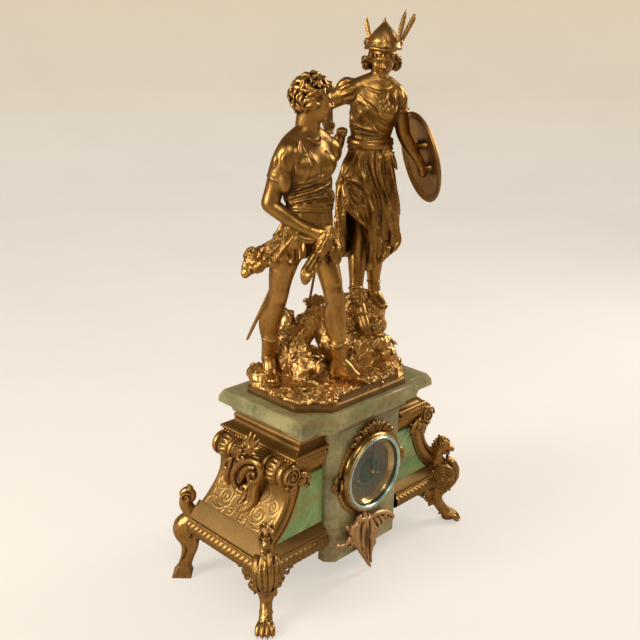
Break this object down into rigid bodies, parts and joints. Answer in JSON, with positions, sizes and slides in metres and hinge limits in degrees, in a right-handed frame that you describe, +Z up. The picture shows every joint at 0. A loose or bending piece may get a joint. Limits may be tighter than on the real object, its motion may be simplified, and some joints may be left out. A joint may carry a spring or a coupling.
{
  "type": "figural mantel clock",
  "caption": "Tall mantel clock: onyx and gilt case on cast feet, hinged glazed bezel, pendulum movement behind a rear door, and a group of two standing figures on a rocky base.",
  "frame": {"origin": "on the floor under the middle of the case, midway between the four feet", "axes": "+Z up, the dial faces -Y, +X to the right as seen from the front"},
  "size_m": [0.4404, 0.2126, 0.7938],
  "materials": {
    "onyx": "polished pale green and tan onyx with cloudy veins",
    "onyx_green": "polished green onyx with golden streaks",
    "gilt": "antique gilt casting with brown patina in the recesses",
    "gilt_dark": "darker patinated gilt casting",
    "gilt_figure": "gilt bronze finish, soft sheen",
    "polished_brass": "polished and lacquered",
    "movement_brass": "machined",
    "bell_metal": "turned bell metal",
    "steel": "plain steel",
    "blued_steel": "dark hands",
    "dial_metal": "dark patinated dial with a green centre",
    "clear_glass": "clear convex-edged glass"
  },
  "bodies": {
    "case": {"top_slab": "onyx", "front_slab": "onyx", "inner_slabs": "onyx", "back_slab": "onyx", "wing_panels": "onyx_green", "wing_back_panels": "onyx_green", "wing_cornice_left": "gilt", "wing_cornice_right": "gilt", "wing_flare_left": "gilt", "wing_flare_right": "gilt", "wing_base_left": "gilt", "wing_base_right": "gilt", "bolsters": "gilt", "side_mounts": "gilt", "leg_front_left": "gilt", "leg_front_right": "gilt", "leg_rear_left": "gilt", "leg_rear_right": "gilt", "apron_scrolls": "gilt", "dial_surround": "gilt", "drop_leaf": "gilt", "hinge_pins": "steel", "dial_plate": "dial_metal", "sight_ring": "polished_brass", "front_plate": "movement_brass", "rear_plate": "movement_brass", "bell": "bell_metal", "rear_ring": "polished_brass", "case_straps": "steel", "rock_base": "gilt_dark", "plaque": "polished_brass", "fixing_bolts": "steel", "youth_body": "gilt_figure", "maiden_body": "gilt_figure", "youth_legs": "gilt_figure", "maiden_legs": "gilt_figure", "youth_head": "gilt_figure", "maiden_head": "gilt_figure", "youth_arms": "gilt_figure", "maiden_arms": "gilt_figure", "youth_pelt": "gilt_dark", "youth_sword": "gilt_dark", "maiden_helmet": "gilt_figure", "maiden_shield": "gilt_dark"},
    "bezel": {"bezel": "polished_brass", "bezel_glass": "clear_glass"},
    "rear_door": {"rear_door": "polished_brass"},
    "minute": {"centre_arbor": "movement_brass", "minute_hand": "blued_steel"},
    "hour": {"hour_wheel": "movement_brass", "hour_hand": "blued_steel"},
    "minute_wheel": {"minute_wheel": "movement_brass"},
    "going_barrel": {"going_barrel": "movement_brass"},
    "third_wheel": {"third_wheel": "movement_brass"},
    "escape_wheel": {"escape_wheel": "movement_brass"},
    "pendulum": {"anchor": "steel", "pendulum": "movement_brass"},
    "strike_barrel": {"strike_barrel": "movement_brass"},
    "pin_wheel": {"pin_wheel": "movement_brass"},
    "hammer": {"hammer": "steel"}
  },
  "joints": [
    {"name": "bezel_hinge", "type": "hinge", "parent": "case", "child": "bezel", "pos_m": [-0.0646, -0.092, 0.165], "axis": [0, 0, -1], "range_deg": [0, 100]},
    {"name": "rear_door_hinge", "type": "hinge", "parent": "case", "child": "rear_door", "pos_m": [-0.055, 0.0775, 0.165], "axis": [0, 0, 1], "range_deg": [0, 100]},
    {"name": "minute_turn", "type": "hinge", "parent": "case", "child": "minute", "pos_m": [0, -0.054, 0.165], "axis": [0, 1, 0], "continuous": true},
    {"name": "hour_turn", "type": "hinge", "parent": "case", "child": "hour", "pos_m": [0, -0.054, 0.165], "axis": [0, 1, 0], "continuous": true},
    {"name": "minute_wheel_turn", "type": "hinge", "parent": "case", "child": "minute_wheel", "pos_m": [0, -0.054, 0.1794], "axis": [0, 1, 0], "continuous": true},
    {"name": "going_barrel_turn", "type": "hinge", "parent": "case", "child": "going_barrel", "pos_m": [0.02078, -0.054, 0.153], "axis": [0, 1, 0], "continuous": true},
    {"name": "third_wheel_turn", "type": "hinge", "parent": "case", "child": "third_wheel", "pos_m": [0.01157, -0.054, 0.17879], "axis": [0, 1, 0], "continuous": true},
    {"name": "escape_wheel_turn", "type": "hinge", "parent": "case", "child": "escape_wheel", "pos_m": [0, -0.054, 0.19258], "axis": [0, 1, 0], "continuous": true},
    {"name": "pendulum_swing", "type": "hinge", "parent": "case", "child": "pendulum", "pos_m": [0, -0.022, 0.20618], "axis": [0, 1, 0], "range_deg": [-3, 3]},
    {"name": "strike_barrel_turn", "type": "hinge", "parent": "case", "child": "strike_barrel", "pos_m": [-0.02078, -0.054, 0.153], "axis": [0, 1, 0], "continuous": true},
    {"name": "pin_wheel_turn", "type": "hinge", "parent": "case", "child": "pin_wheel", "pos_m": [-0.02495, -0.054, 0.17664], "axis": [0, 1, 0], "continuous": true},
    {"name": "hammer_lift", "type": "hinge", "parent": "case", "child": "hammer", "pos_m": [0.0062, 0.014, 0.191], "axis": [0, 1, 0], "range_deg": [0, 10]}
  ],
  "couplings": [
    {"joint": "hour_turn", "follows": "minute_turn", "ratio": 0.083333},
    {"joint": "minute_wheel_turn", "follows": "minute_turn", "ratio": -0.33333},
    {"joint": "going_barrel_turn", "follows": "minute_turn", "ratio": -0.14286},
    {"joint": "third_wheel_turn", "follows": "minute_turn", "ratio": -5},
    {"joint": "escape_wheel_turn", "follows": "minute_turn", "ratio": 25},
    {"joint": "pin_wheel_turn", "follows": "strike_barrel_turn", "ratio": -7}
  ]
}
